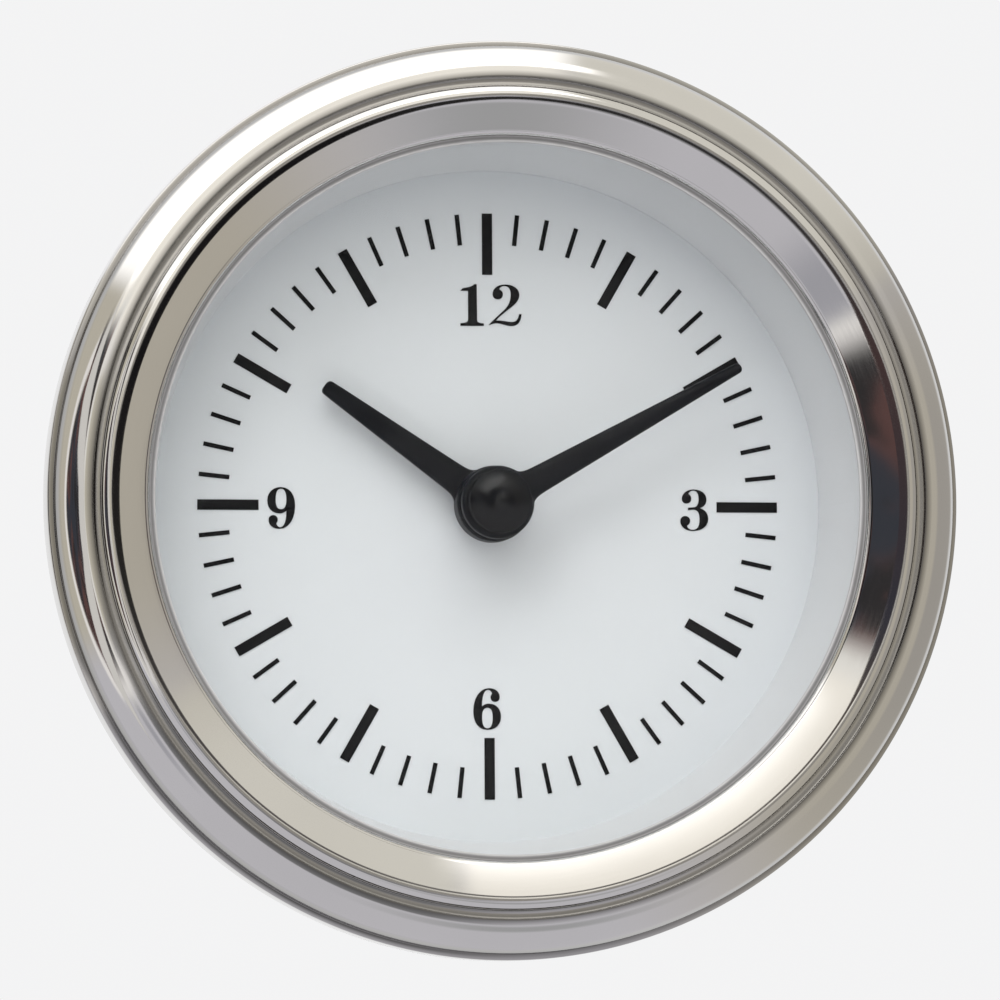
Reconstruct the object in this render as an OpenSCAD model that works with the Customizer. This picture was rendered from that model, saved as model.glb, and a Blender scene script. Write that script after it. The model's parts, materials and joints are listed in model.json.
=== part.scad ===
// Two inch panel clock: a quartz movement in a steel can, behind a stepped stainless bezel.
// Every piece is drawn in dial coordinates: x to 3 o'clock, y to 12 o'clock, z out of the dial
// towards the reader, with z = 0 at the face that rests on the instrument panel.
// upright() then stands the clock up, so that it faces -Y with 12 o'clock at +Z.

/* [Bezel and lens] */
// Outer diameter of the bezel
bezel_d = 60; // [59.5:0.1:62]
// Diameter of the opening inside the bezel
opening_d = 47.2; // [46.5:0.1:47.6]
// Height of the opening's lip in front of the panel
lip_z = 5; // [4.8:0.1:5.4]
// Thickness of the flat glass
glass_t = 1.6; // [1.4:0.1:1.8]

/* [Can] */
// Diameter of the can that goes through the panel hole
case_d = 52; // [51.8:0.1:52.4]
// Depth of the can behind the panel
case_depth = 29; // [28.5:0.5:34]
// Sheet thickness of the can
case_wall = 0.7; // [0.6:0.05:0.8]

/* [Dial and hands] */
// Distance from the opening's lip back to the dial
dial_drop = 9.4; // [8.8:0.1:9.4]
// Diameter of dial that shows inside the spacer ring
dial_shown_d = 44.2; // [43:0.1:45]
// Outer radius of the ring of minute marks
marks_r = 19.3; // [18:0.1:20]
// Height of the numerals
numeral_h = 2.75; // [2.2:0.05:3.2]
// Reach of the minute hand from the centre
minute_reach = 18.5; // [16:0.1:19]
// Reach of the hour hand from the centre
hour_reach = 13.5; // [11:0.1:15]
// Hour that the hands show
shown_hour = 10; // [0:1:11]
// Minute that the hands show
shown_minute = 10.15; // [0:0.05:59.95]

/* [Rear fittings] */
// Diameter of the two mounting studs
stud_d = 4; // [3.8:0.1:4.2]
// Distance between the mounting studs
stud_spacing = 32; // [31:0.5:33]
// Length of the studs behind the can
stud_reach = 16; // [12:0.5:22]
// Diameter of the time setting knob
knob_d = 8; // [7:0.5:9]

/* [Hidden] */

$fn = 96;
fit = 0.02;            // radial clearance of a pivot or screw in its hole
touch = 0.01;          // bite that fuses two shapes of one piece

// Bezel section, as radii and heights
bezel_r = bezel_d / 2;
opening_r = opening_d / 2;
bezel_sheet = 0.6;
roll_r = case_d / 2 + 0.6;          // inner edge of the rolled seam
rim_h = 2.6;                        // height of the plain outer rim
rim_fillet = 0.35;
bead_r = bezel_r - 0.4;             // outer radius of the large bead
bead_round = 2.17;                  // the bead is a quarter circle
bead_z = lip_z + 0.2;               // crest of the large bead
step_r = bead_r - bead_round - 0.05;  // where the large bead ends
step_w = 0.55;                      // width of the sunken step
step_z = lip_z - 0.05;
ridge_round = 0.6;                  // outer radius of the small ridge inside the step
ridge_ease = 2.2;                   // wider radius that leads from its crest to the cone
ridge_z = lip_z + 0.7;              // crest of the small ridge
cone_slope = 18;                    // fall of the cone from the ridge to the lip
lip_round = 0.35;

// Lens stack
pocket_z = lip_z - bezel_sheet;      // rear face of the lip
pocket_r = bezel_r - 1.6;
gasket_t = 0.3;                     // rubber between the lip and the glass
gasket_lip_r = opening_r - 0.4;     // it shows inside the opening by this much
gasket_round = 0.12;
glass_front = pocket_z - gasket_t;
glass_back = glass_front - glass_t;
glass_r = pocket_r - 0.5;
flange_back = bezel_sheet;          // the can's flange sits in the rolled seam
flange_front = flange_back + 0.8;
flange_r = bezel_r - 1.1;

// Can
case_r = case_d / 2;
case_in_r = case_r - case_wall;
case_back = -case_depth;
case_floor = case_back + case_wall;
case_round = 1.5;

// Dial
dial_z = lip_z - dial_drop;
dial_t = 0.6;
dial_back = dial_z - dial_t;
dial_r = case_in_r - 0.3;
dial_feet_x = 19;
dial_foot_r = 0.5;
ink_t = 0.05;
minute_marks = 60;
major_len = 4.05;
major_w = 0.68;
minor_len = 2.03;
minor_w = 0.29;

// Hands, with heights above the dial
hour_turn = -30 * (shown_hour + shown_minute / 60);
minute_turn = -6 * shown_minute;
hub_r = 2.5;
minute_hub_r = 2.4;
hub_step = 0.3;        // the hubs' discs step in by this much at one face
hour_hub_z = dial_z + 0.9;
hour_hub_t = 2.1;
minute_hub_z = dial_z + 3.2;
minute_hub_t = 1.2;
blade_t = 0.7;
cap_r = 2.08;
cap_wall = 0.8;        // straight part of the cap below its dome
cap_h = 1.6;

// Movement layers, counted back from the dial
front_plate_front = dial_back - 3.4;
plate_t = 1.2;
front_plate_back = front_plate_front - plate_t;
rear_plate_front = front_plate_back - 9;
rear_plate_back = rear_plate_front - plate_t;
board_front = rear_plate_back - 2;
board_t = 1.2;
board_back = board_front - board_t;
plate_r = case_in_r - 0.4;
rear_plate_r = 21.6;
board_r = 21.2;

// Gear teeth
pressure = 25;
addendum = 0.8;
dedendum = 1.1;
flank_steps = 3;
motion_mod = 0.3;
train_mod = 0.2;
motion_slack = 0.03;   // taken off each tooth's thickness
train_slack = 0.03;
cannon_teeth = 15;
minute_wheel_teeth = 45;
minute_pinion_teeth = 12;
hour_wheel_teeth = 48;
setting_teeth = 15;
centre_teeth = 80;
intermediate_pinion_teeth = 10;
intermediate_teeth = 75;
rotor_teeth = 10;

// Gear places, as distance and direction from the gear before
motion_c = motion_mod * (cannon_teeth + minute_wheel_teeth) / 2;
setting_c = motion_mod * (setting_teeth + minute_wheel_teeth) / 2;
centre_c = train_mod * (centre_teeth + intermediate_pinion_teeth) / 2;
rotor_c = train_mod * (intermediate_teeth + rotor_teeth) / 2;
minute_wheel_dir = -90;
setting_dir = 210;
intermediate_dir = 130;
rotor_dir = 40;
minute_wheel_at = polar(motion_c, minute_wheel_dir);
setting_at = minute_wheel_at + polar(setting_c, setting_dir);
intermediate_at = polar(centre_c, intermediate_dir);
rotor_at = intermediate_at + polar(rotor_c, rotor_dir);

// Rest phases that bring every pair of teeth into mesh
cannon_phase = 0;
minute_wheel_phase = mesh_phase(cannon_teeth, cannon_phase, minute_wheel_teeth, minute_wheel_dir);
minute_pinion_phase = 0;
hour_wheel_phase = mesh_phase(minute_pinion_teeth, minute_pinion_phase, hour_wheel_teeth,
    minute_wheel_dir + 180);
setting_phase = mesh_phase(minute_wheel_teeth, minute_wheel_phase, setting_teeth, setting_dir);
centre_phase = 0;
intermediate_pinion_phase = mesh_phase(centre_teeth, centre_phase, intermediate_pinion_teeth,
    intermediate_dir);
intermediate_phase = 0;
rotor_phase = mesh_phase(intermediate_teeth, intermediate_phase, rotor_teeth, rotor_dir);

// Gear heights
gear_t = 0.8;
hour_wheel_z = dial_back - 1.3;          // rear face of the hour wheel
minute_wheel_z = front_plate_front + 0.5;
centre_wheel_z = front_plate_back - 1.8;
intermediate_z = front_plate_back - 3.4;
intermediate_t = 0.6;
rotor_pinion_z = intermediate_z - 0.35;
rotor_pinion_t = 1.3;

// Arbors and pivots
arbor_r = 0.6;
post_r = 0.5;
pivot_r = 0.4;
cannon_tube_r = 0.95;
pipe_in_r = cannon_tube_r + 0.05;
pipe_r = 1.4;
setting_shaft_r = 1;

// Stepping motor, in its own directions: u away from the rotor, v along the coil
motor_turn = -45;
stator_t = 1;
stator_back = front_plate_back - 6.2;
stator_front = stator_back + stator_t;
stator_bore = 3.1;
stator_ring = 5;
arm_in = 8;                        // where the arms reach the coil's ends
coil_u = 13;
coil_half = 5.3;                   // half the length of the winding
arm_v = 7.2;
core_w = 2.4;
core_t = 1;
bobbin_r = 2.5;
winding_r = 2.3;
bobbin_wall = 0.5;
magnet_r = 2.5;
magnet_t = 2.4;
magnet_z = stator_back - 0.7;
motor_screw_r = 0.7;

// Fastening positions, all on one circle
pillar_ring = 20;
pillar_dirs = [65, 155, 215, 335];
pillar_r = 1.6;
pillar_bore = 1;
plate_screw_r = 0.8;
plate_head_r = 1.5;
plate_head_t = 0.6;
standoff_r = 2;
case_screw_head_r = 2;
case_screw_head_t = 1.2;

// Rear fittings
stud_r = stud_d / 2;
stud_washer_r = 4.4;
stud_washer_t = 0.7;
stud_nut_across = 7;
stud_nut_t = 3.2;
terminal_at = [0, 10.5];
terminal_pitch = 8;
block_size = [24, 7, 3];
blade_w = 6.3;
blade_t_metal = 0.8;
blade_reach = 8.5;
lamp_at = [9.5, -12.5];
lamp_hole_r = 5;
lamp_lug_r = 6.1;
lamp_lug_w = 3;
lamp_flange_r = 6.6;
lamp_slot_turn = -60;              // turn that brings the lugs to their slots
lamp_gap = 0.1;
bulb_r = 2.5;
knob_r = knob_d / 2;
knob_t = 4;
knob_ribs = 24;

function polar(r, a) = [r * cos(a), r * sin(a)];

// Rotation of a driven gear that puts a gap where the driver has a tooth
function mesh_phase(teeth_a, phase_a, teeth_b, dir) =
    dir + 180 + 180 / teeth_b - (teeth_a / teeth_b) * (phase_a - dir);

// Points on an arc
function arc(cx, cy, r, from, to, steps = 10) =
    [for (i = [0 : steps]) [cx, cy] + polar(r, from + (to - from) * i / steps)];

// Points along a chain of cubic curves: start, control, control, end, control, control, end ...
function curve(p, steps = 6) =
    [for (k = [0 : 3 : len(p) - 4]) for (i = [0 : steps - 1])
        let (t = i / steps, s = 1 - t)
        s * s * s * p[k] + 3 * s * s * t * p[k + 1] + 3 * s * t * t * p[k + 2] + t * t * t * p[k + 3]];

// Involute function, in radians
function involute(a) = tan(a) - a * PI / 180;

// Half the angle that a tooth spans at radius r
function half_tooth(teeth, mod, slack, r) =
    let (base_r = teeth * mod / 2 * cos(pressure))
    180 / PI * ((PI / 2 - slack / mod) / teeth + involute(pressure)
        - involute(acos(min(1, base_r / r))));

function gear_points(teeth, mod, slack, phase) =
    let (pitch_r = teeth * mod / 2,
        base_r = pitch_r * cos(pressure),
        tip_r = pitch_r + addendum * mod,
        root_r = pitch_r - dedendum * mod,
        flank_r = max(base_r, root_r),
        radii = [for (i = [0 : flank_steps]) flank_r + (tip_r - flank_r) * i / flank_steps],
        root = root_r < base_r * 0.999 ? [root_r] : [])
    [for (tooth = [0 : teeth - 1])
        let (mid = phase + 360 * tooth / teeth)
        each concat(
            [for (r = root) polar(r, mid - half_tooth(teeth, mod, slack, flank_r))],
            [for (r = radii) polar(r, mid - half_tooth(teeth, mod, slack, r))],
            [for (i = [flank_steps : -1 : 0])
                polar(radii[i], mid + half_tooth(teeth, mod, slack, radii[i]))],
            [for (r = root) polar(r, mid + half_tooth(teeth, mod, slack, flank_r))])];

module gear(teeth, mod, slack, phase, height) {
    linear_extrude(height) polygon(gear_points(teeth, mod, slack, phase));
}

// Stands the clock up
module upright() {
    rotate([90, 0, 0]) children();
}

module at_pillars() {
    for (dir = pillar_dirs)
        translate(concat(polar(pillar_ring, dir), 0)) children();
}

module at_studs() {
    for (side = [-1, 1])
        translate([side * stud_spacing / 2, 0, 0]) children();
}

module place(at, z = 0) {
    translate([at[0], at[1], z]) children();
}

// Round bar between two heights
module rod(r, from, to) {
    translate([0, 0, from]) cylinder(h = to - from, r = r);
}

// Tube between two heights
module tube(r, bore, from, to) {
    difference() {
        rod(r, from, to);
        rod(bore, from - 1, to + 1);
    }
}

module motor_frame() {
    place(rotor_at) rotate(motor_turn) children();
}

module bezel() {
    ridge_r = step_r - step_w - ridge_round;
    color("gainsboro") rotate_extrude($fn = 180) polygon(concat(
        [[roll_r, 0], [bezel_r - rim_fillet - 0.1, 0]],
        arc(bezel_r - rim_fillet, rim_fillet, rim_fillet, -60, 0, 3),
        arc(bezel_r - rim_fillet, rim_h - rim_fillet, rim_fillet, 0, 90, 4),
        [[bead_r, rim_h]],
        arc(bead_r - bead_round, bead_z - bead_round, bead_round, 0, 90, 15),
        [[step_r, step_z], [step_r - step_w, step_z]],
        arc(ridge_r, ridge_z - ridge_round, ridge_round, 5, 90, 8),
        arc(ridge_r, ridge_z - ridge_ease, ridge_ease, 93, 90 + cone_slope, 5),
        arc(opening_r + lip_round, lip_z - lip_round, lip_round, 90 + cone_slope, 180, 5),
        [[opening_r, pocket_z], [pocket_r + 0.05, pocket_z],
            [flange_r + 0.05, pocket_z - 0.65], [flange_r + 0.05, flange_back],
            [roll_r, flange_back]]
    ));
}

module lens_glass() {
    ease = 0.25;
    color("lightcyan", 0.35) rotate_extrude() polygon([
        [0, glass_back], [glass_r - ease, glass_back], [glass_r, glass_back + ease],
        [glass_r, glass_front - ease], [glass_r - ease, glass_front], [0, glass_front]
    ]);
}

module lens_gasket() {
    color("black") rotate_extrude() polygon(concat(
        [[case_in_r + 0.1, flange_front], [pocket_r, flange_front], [pocket_r, pocket_z]],
        arc(gasket_lip_r + gasket_round, pocket_z - gasket_round, gasket_round, 90, 180, 4),
        [[gasket_lip_r, glass_front], [glass_r, glass_front], [glass_r, glass_back],
            [case_in_r + 0.1, glass_back]]
    ));
}

module case() {
    slot_w = block_size[1] - 1.6;
    slot_l = block_size[0] - 1.6;
    color("silver") difference() {
        rotate_extrude($fn = 180) polygon(concat(
            [[0, case_floor], [case_in_r - 1, case_floor]],
            arc(case_in_r - 1, case_floor + 1, 1, -90, 0, 6),
            [[case_in_r, flange_front], [flange_r, flange_front], [flange_r, flange_back]],
            arc(case_r + flange_back, 0, flange_back, 90, 180, 5),
            arc(case_r - case_round, case_back + case_round, case_round, 0, -90, 6),
            [[0, case_back]]
        ));
        at_studs() rod(stud_r + 0.1, case_back - 1, case_floor + 1);
        at_pillars() rod(1.15, case_back - 1, case_floor + 1);
        place(setting_at) rod(2, case_back - 1, case_floor + 1);
        place(lamp_at) {
            rod(lamp_hole_r, case_back - 1, case_floor + 1);
            rotate(lamp_slot_turn)
                translate([-lamp_lug_r - 0.15, -lamp_lug_w / 2 - 0.15, case_back - 1])
                cube([2 * lamp_lug_r + 0.3, lamp_lug_w + 0.3, case_wall + 2]);
        }
        translate([terminal_at[0] - slot_l / 2, terminal_at[1] - slot_w / 2, case_back - 1])
            cube([slot_l, slot_w, case_wall + 2]);
    }
}

module spacer_ring() {
    color("whitesmoke") rotate_extrude() polygon([
        [dial_shown_d / 2, dial_z], [dial_r, dial_z], [dial_r, glass_back],
        [opening_r + 0.15, glass_back], [opening_r + 0.05, glass_back - 0.4],
        [dial_shown_d / 2, dial_z + 0.5]
    ]);
}

module dial() {
    color("white") difference() {
        union() {
            rod(dial_r, dial_back, dial_z);
            for (side = [-1, 1])
                place([side * dial_feet_x, 0]) rod(dial_foot_r, front_plate_back, dial_back + touch);
        }
        rod(pipe_r + 0.4, dial_back - 1, dial_z + 1);
    }
}

// Numeral outlines, in hundredths of the numeral's height
one_outline = concat([[0, 0], [57, 0]], curve([[57, 6], [50, 7], [40, 7], [40, 15]]),
    [[40, 100], [34, 100]], curve([[34, 100], [28, 93], [14, 91], [0, 90]]), [[0, 84], [19, 84]],
    curve([[19, 15], [19, 7], [8, 7], [0, 6]]), [[0, 6]]);
two_outline = curve([
    [0, 2], [12, 16], [32, 32], [42, 43], [50, 52], [54, 62], [54, 75],
    [54, 89], [49, 96], [39, 96], [33, 96], [28, 93], [26, 88],
    [31, 87], [35, 82], [35, 76], [35, 69], [30, 64], [23, 64],
    [15, 64], [10, 69], [10, 77], [10, 91], [23, 100], [41, 100],
    [61, 100], [75, 90], [75, 75], [75, 61], [64, 52], [47, 39],
    [35, 29], [25, 22], [18, 13], [32, 15], [44, 10], [56, 10],
    [67, 10], [72, 16], [74, 29], [76, 29], [78, 29], [80, 29],
    [79, 11], [71, 0], [56, 0], [40, 0], [27, 9], [13, 6],
    [8, 5], [4, 2], [0, 2]]);
three_outline = curve([
    [19, 56], [28, 57], [34, 56], [39, 59], [43, 62], [45, 68], [45, 76],
    [45, 90], [41, 97], [32, 97], [27, 97], [22, 94], [20, 89],
    [25, 87], [27, 82], [27, 77], [27, 70], [22, 66], [15, 66],
    [9, 66], [4, 70], [4, 77], [4, 90], [16, 100], [32, 100],
    [52, 100], [64, 90], [64, 76], [64, 65], [58, 58], [48, 55],
    [60, 52], [68, 43], [68, 29], [68, 11], [52, 0], [30, 0],
    [13, 0], [0, 10], [0, 24], [0, 31], [5, 36], [12, 36],
    [19, 36], [24, 31], [24, 25], [24, 19], [21, 15], [16, 13],
    [18, 6], [23, 3], [30, 3], [42, 3], [47, 12], [47, 28],
    [47, 40], [45, 47], [38, 50], [33, 52], [28, 51], [19, 50],
    [19, 52], [19, 54], [19, 56]]);
six_outline = curve([
    [46, 87], [43, 93], [40, 96], [36, 96], [27, 96], [21, 82], [21, 56],
    [26, 61], [31, 63], [38, 63], [56, 63], [67, 50], [67, 32],
    [67, 12], [53, 0], [34, 0], [13, 0], [0, 17], [0, 44],
    [0, 78], [17, 100], [38, 100], [54, 100], [64, 91], [64, 79],
    [64, 72], [60, 67], [53, 67], [47, 67], [42, 71], [42, 78],
    [42, 82], [44, 85], [46, 87]]);
six_counter = curve([
    [34, 53], [25, 53], [21, 45], [21, 30], [21, 13], [25, 4], [34, 4],
    [43, 4], [47, 13], [47, 30], [47, 46], [43, 53], [34, 53]]);

// One numeral, centred on its own box
module numeral(digit) {
    width = [57, 80, 68, 67][digit == 1 ? 0 : digit == 2 ? 1 : digit == 3 ? 2 : 3];
    scale(numeral_h / 100) rotate(digit == 9 ? 180 : 0) translate([-width / 2, -50]) {
        if (digit == 1) polygon(one_outline);
        if (digit == 2) polygon(two_outline);
        if (digit == 3) polygon(three_outline);
        if (digit == 6 || digit == 9) difference() {
            polygon(six_outline);
            polygon(six_counter);
        }
    }
}

module dial_marks() {
    twelve_y = 13.25;
    six_y = -13.35;
    side_x = 13.75;
    side_y = -0.2;
    color("black") translate([0, 0, dial_z]) linear_extrude(ink_t) {
        for (i = [0 : minute_marks - 1]) {
            major = i % 5 == 0;
            length = major ? major_len : minor_len;
            width = major ? major_w : minor_w;
            rotate(-360 * i / minute_marks)
                translate([-width / 2, marks_r - length]) square([width, length]);
        }
        translate([-1.02, twelve_y]) numeral(1);
        translate([1.18, twelve_y]) numeral(2);
        translate([side_x, side_y]) numeral(3);
        translate([-0.15, six_y]) numeral(6);
        translate([-side_x, side_y]) numeral(9);
    }
}

// Tapered blade that points to 12 o'clock, with a blunt tip and a narrower crown
module blade(reach, root_w, tip_w, z) {
    for (layer = [[1, 0, blade_t * 0.6], [0.55, blade_t * 0.6 - touch, blade_t]])
        translate([0, 0, z + layer[1]]) linear_extrude(layer[2] - layer[1])
            polygon(concat(
                [[-root_w / 2 * layer[0], 0], [root_w / 2 * layer[0], 0]],
                arc(tip_w * 0.2 * layer[0], reach - tip_w * 0.3, tip_w * 0.3 * layer[0], 0, 90, 4),
                arc(-tip_w * 0.2 * layer[0], reach - tip_w * 0.3, tip_w * 0.3 * layer[0],
                    90, 180, 4)));
}

module hour_hand() {
    color("#1c1d20") difference() {
        union() {
            rod(hub_r - hub_step, hour_hub_z, hour_hub_z + hub_step);
            rod(hub_r, hour_hub_z + hub_step - touch, hour_hub_z + hour_hub_t);
            rotate(hour_turn) blade(hour_reach, 2.15, 0.98, hour_hub_z + 0.3);
        }
        rod(pipe_r, hour_hub_z - 1, hour_hub_z + hour_hub_t + 1);
    }
}

module minute_hand() {
    color("#1c1d20") difference() {
        union() {
            rod(minute_hub_r - hub_step, minute_hub_z, minute_hub_z + hub_step);
            rod(minute_hub_r, minute_hub_z + hub_step - touch, minute_hub_z + minute_hub_t);
            rotate(minute_turn) blade(minute_reach, 2.02, 0.68, minute_hub_z + 0.4);
        }
        rod(arbor_r, minute_hub_z - 1, minute_hub_z + minute_hub_t + 1);
    }
}

module hub_cap() {
    base = minute_hub_z + minute_hub_t;
    rise = cap_h - cap_wall;
    dome_r = (cap_r * cap_r + rise * rise) / (2 * rise);
    dome_span = asin(cap_r / dome_r);
    color("#17181a") difference() {
        rotate_extrude() polygon(concat([[0, base], [cap_r, base]],
            arc(0, base + cap_h - dome_r, dome_r, 90 - dome_span, 90, 10)));
        rod(arbor_r, base - 1, base + 0.6);
    }
}

module front_plate() {
    rim_in = plate_r - 1.4;
    color("beige") difference() {
        union() {
            rod(plate_r, front_plate_back, front_plate_front);
            tube(plate_r, rim_in, front_plate_front - touch, dial_back);
        }
        rod(2.2, front_plate_back - 1, front_plate_front + 1);
        place(minute_wheel_at) rod(post_r, front_plate_back - 1, front_plate_front + 1);
        place(intermediate_at) rod(pivot_r + fit, front_plate_back - 1, front_plate_front + 1);
        place(rotor_at) rod(pivot_r + fit, front_plate_back - 1, front_plate_front + 1);
        place(setting_at) rod(setting_shaft_r + fit, front_plate_back - 1, front_plate_front + 1);
        place(lamp_at) rod(4, front_plate_back - 1, front_plate_front + 1);
        for (side = [-1, 1])
            place([side * dial_feet_x, 0])
                rod(dial_foot_r + fit, front_plate_back - 1, front_plate_front + 1);
        at_pillars() {
            rod(plate_screw_r + 0.1, front_plate_back - 1, front_plate_front + 1);
            rod(plate_head_r + 0.1, front_plate_front - plate_head_t, front_plate_front + 1);
        }
    }
}

module centre_bushing() {
    color("gold") difference() {
        union() {
            rod(2.2, front_plate_back - touch, front_plate_front);
            rod(2.8, front_plate_back - 0.3, front_plate_back);
        }
        rod(arbor_r + fit, front_plate_back - 1, front_plate_front + 1);
    }
}

module minute_wheel_post() {
    color("silver") place(minute_wheel_at) rod(post_r, front_plate_back, dial_back - 0.15);
}

module minute_wheel() {
    color("ivory") place(minute_wheel_at) difference() {
        union() {
            translate([0, 0, minute_wheel_z])
                gear(minute_wheel_teeth, motion_mod, motion_slack, minute_wheel_phase, gear_t);
            translate([0, 0, minute_wheel_z + gear_t - touch])
                gear(minute_pinion_teeth, motion_mod, motion_slack, minute_pinion_phase,
                    dial_back - 0.3 - minute_wheel_z - gear_t);
            rod(1.1, front_plate_front + 0.1, minute_wheel_z + touch);
        }
        rod(post_r + fit, front_plate_front - 1, dial_back + 1);
    }
}

module hour_wheel() {
    color("ivory") difference() {
        union() {
            translate([0, 0, hour_wheel_z])
                gear(hour_wheel_teeth, motion_mod, motion_slack, hour_wheel_phase, gear_t);
            rod(pipe_r, hour_wheel_z - 0.3, hour_hub_z + hour_hub_t - 0.2);
        }
        rod(pipe_in_r, hour_wheel_z - 1, hour_hub_z + hour_hub_t + 1);
    }
}

module cannon_pinion() {
    pinion_top = minute_wheel_z + gear_t + 0.3;
    color("gold") difference() {
        union() {
            translate([0, 0, front_plate_front + 0.2])
                gear(cannon_teeth, motion_mod, motion_slack, cannon_phase,
                    pinion_top - front_plate_front - 0.2);
            rod(cannon_tube_r, pinion_top - touch, minute_hub_z);
        }
        rod(arbor_r, front_plate_front - 1, minute_hub_z + 1);
    }
}

module centre_arbor() {
    color("silver") union() {
        rod(arbor_r, rear_plate_back, minute_hub_z + minute_hub_t + 0.5);
        rod(1.1, centre_wheel_z - 0.5, centre_wheel_z);
    }
}

module friction_spring() {
    front = centre_wheel_z + gear_t + 0.2;
    color("orange") difference() {
        rod(3.4, front - 0.2, front);
        rod(arbor_r, front - 1, front + 1);
        for (i = [0 : 2])
            rotate(120 * i) translate([1.9, -0.9, front - 1]) cube([1, 1.8, 2]);
    }
}

module centre_wheel() {
    color("gold") difference() {
        translate([0, 0, centre_wheel_z])
            gear(centre_teeth, train_mod, train_slack, centre_phase, gear_t);
        rod(arbor_r, centre_wheel_z - 1, centre_wheel_z + gear_t + 1);
    }
}

module intermediate_wheel() {
    pinion_top = centre_wheel_z + gear_t + 0.2;
    color("ivory") place(intermediate_at) difference() {
        union() {
            translate([0, 0, intermediate_z])
                gear(intermediate_teeth, train_mod, train_slack, intermediate_phase,
                    intermediate_t);
            translate([0, 0, intermediate_z + intermediate_t - touch])
                gear(intermediate_pinion_teeth, train_mod, train_slack,
                    intermediate_pinion_phase, pinion_top - intermediate_z - intermediate_t);
        }
        rod(pivot_r, intermediate_z - 1, pinion_top + 1);
    }
}

module intermediate_arbor() {
    color("silver") place(intermediate_at) rod(pivot_r, rear_plate_back, front_plate_front);
}

module rotor_magnet() {
    color("dimgray") place(rotor_at) tube(magnet_r, pivot_r, magnet_z, magnet_z + magnet_t);
}

module rotor_pinion() {
    color("ivory") place(rotor_at) union() {
        rod(pivot_r, rear_plate_back, front_plate_front);
        translate([0, 0, rotor_pinion_z])
            gear(rotor_teeth, train_mod, train_slack, rotor_phase, rotor_pinion_t);
    }
}

module stator() {
    arm = core_w / 2;
    color("lightslategray") motor_frame() difference() {
        union() {
            rod(stator_ring, stator_back, stator_front);
            for (side = [-1, 1])
                translate([0, 0, stator_back]) linear_extrude(stator_t)
                    polygon([[-0.4, side * 4], [arm_in - 2, side * (arm_v + arm)],
                        [coil_u + arm, side * (arm_v + arm)],
                        [coil_u + arm, side * (arm_v - arm)], [arm_in, side * (arm_v - arm)],
                        [3.7, side * 1.5]]);
        }
        rod(stator_bore, stator_back - 1, stator_front + 1);
        for (side = [-1, 1])
            translate([coil_u, side * arm_v, 0])
                rod(motor_screw_r + 0.1, stator_back - 1, stator_front + 1);
    }
}

module coil_core() {
    color("lightslategray") motor_frame() difference() {
        translate([coil_u - core_w / 2, -arm_v - core_w / 2, stator_front])
            cube([core_w, 2 * arm_v + core_w, core_t]);
        for (side = [-1, 1])
            translate([coil_u, side * arm_v, 0])
                rod(motor_screw_r + 0.1, stator_front - 1, stator_front + core_t + 1);
    }
}

// Places a piece along the coil, with its own z along v
module on_coil() {
    motor_frame() translate([coil_u, 0, stator_front + core_t / 2]) rotate([-90, 0, 0]) children();
}

module coil_bobbin() {
    sleeve = [core_w + 0.6, core_t + 0.6];
    color("white") on_coil() difference() {
        union() {
            for (end = [-coil_half - bobbin_wall, coil_half])
                rod(bobbin_r, end, end + bobbin_wall);
            translate([-sleeve[0] / 2, -sleeve[1] / 2, -coil_half - touch])
                cube([sleeve[0], sleeve[1], 2 * coil_half + 2 * touch]);
        }
        translate([-core_w / 2, -core_t / 2, -coil_half - 2])
            cube([core_w, core_t, 2 * coil_half + 4]);
    }
}

module coil_winding() {
    sleeve = [core_w + 0.6, core_t + 0.6];
    color("chocolate") on_coil() difference() {
        rod(winding_r, -coil_half, coil_half);
        translate([-sleeve[0] / 2, -sleeve[1] / 2, -coil_half - 1])
            cube([sleeve[0], sleeve[1], 2 * coil_half + 2]);
    }
}

module stator_screws() {
    head_z = stator_front + core_t;
    color("silver") motor_frame() for (side = [-1, 1])
        translate([coil_u, side * arm_v, 0]) {
            difference() {
                union() {
                    rod(motor_screw_r, rear_plate_front, head_z + touch);
                    rod(1.2, head_z, head_z + 0.7);
                }
                translate([-1.5, -0.15, head_z + 0.4]) cube([3, 0.3, 1]);
            }
        }
}

module rear_plate() {
    color("beige") difference() {
        rod(rear_plate_r, rear_plate_back, rear_plate_front);
        rod(arbor_r + fit, rear_plate_back - 1, rear_plate_front + 1);
        place(intermediate_at) rod(pivot_r + fit, rear_plate_back - 1, rear_plate_front + 1);
        place(rotor_at) rod(pivot_r + fit, rear_plate_back - 1, rear_plate_front + 1);
        place(setting_at) rod(setting_shaft_r + fit, rear_plate_back - 1, rear_plate_front + 1);
        place(lamp_at) rod(4, rear_plate_back - 1, rear_plate_front + 1);
        at_pillars() rod(pillar_bore + fit, rear_plate_back - 1, rear_plate_front + 1);
        for (pin = coil_pin_places)
            place(pin) rod(0.5, rear_plate_back - 1, rear_plate_front + 1);
    }
}

module plate_pillars() {
    color("gold") at_pillars() difference() {
        rod(pillar_r, rear_plate_front, front_plate_back);
        rod(pillar_bore + fit, rear_plate_front - 1, rear_plate_front + 2.6);
        rod(plate_screw_r + fit, front_plate_back - 2.6, front_plate_back + 1);
    }
}

module plate_screws() {
    head_z = front_plate_front - plate_head_t;
    color("silver") at_pillars() difference() {
        union() {
            rod(plate_screw_r, front_plate_back - 2.4, head_z + touch);
            rod(plate_head_r, head_z, front_plate_front);
        }
        translate([-2, -0.2, front_plate_front - 0.3]) cube([4, 0.4, 1]);
    }
}

module board_spacers() {
    color("white") at_pillars() tube(pillar_r, pillar_bore + fit, board_front, rear_plate_back);
}

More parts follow.
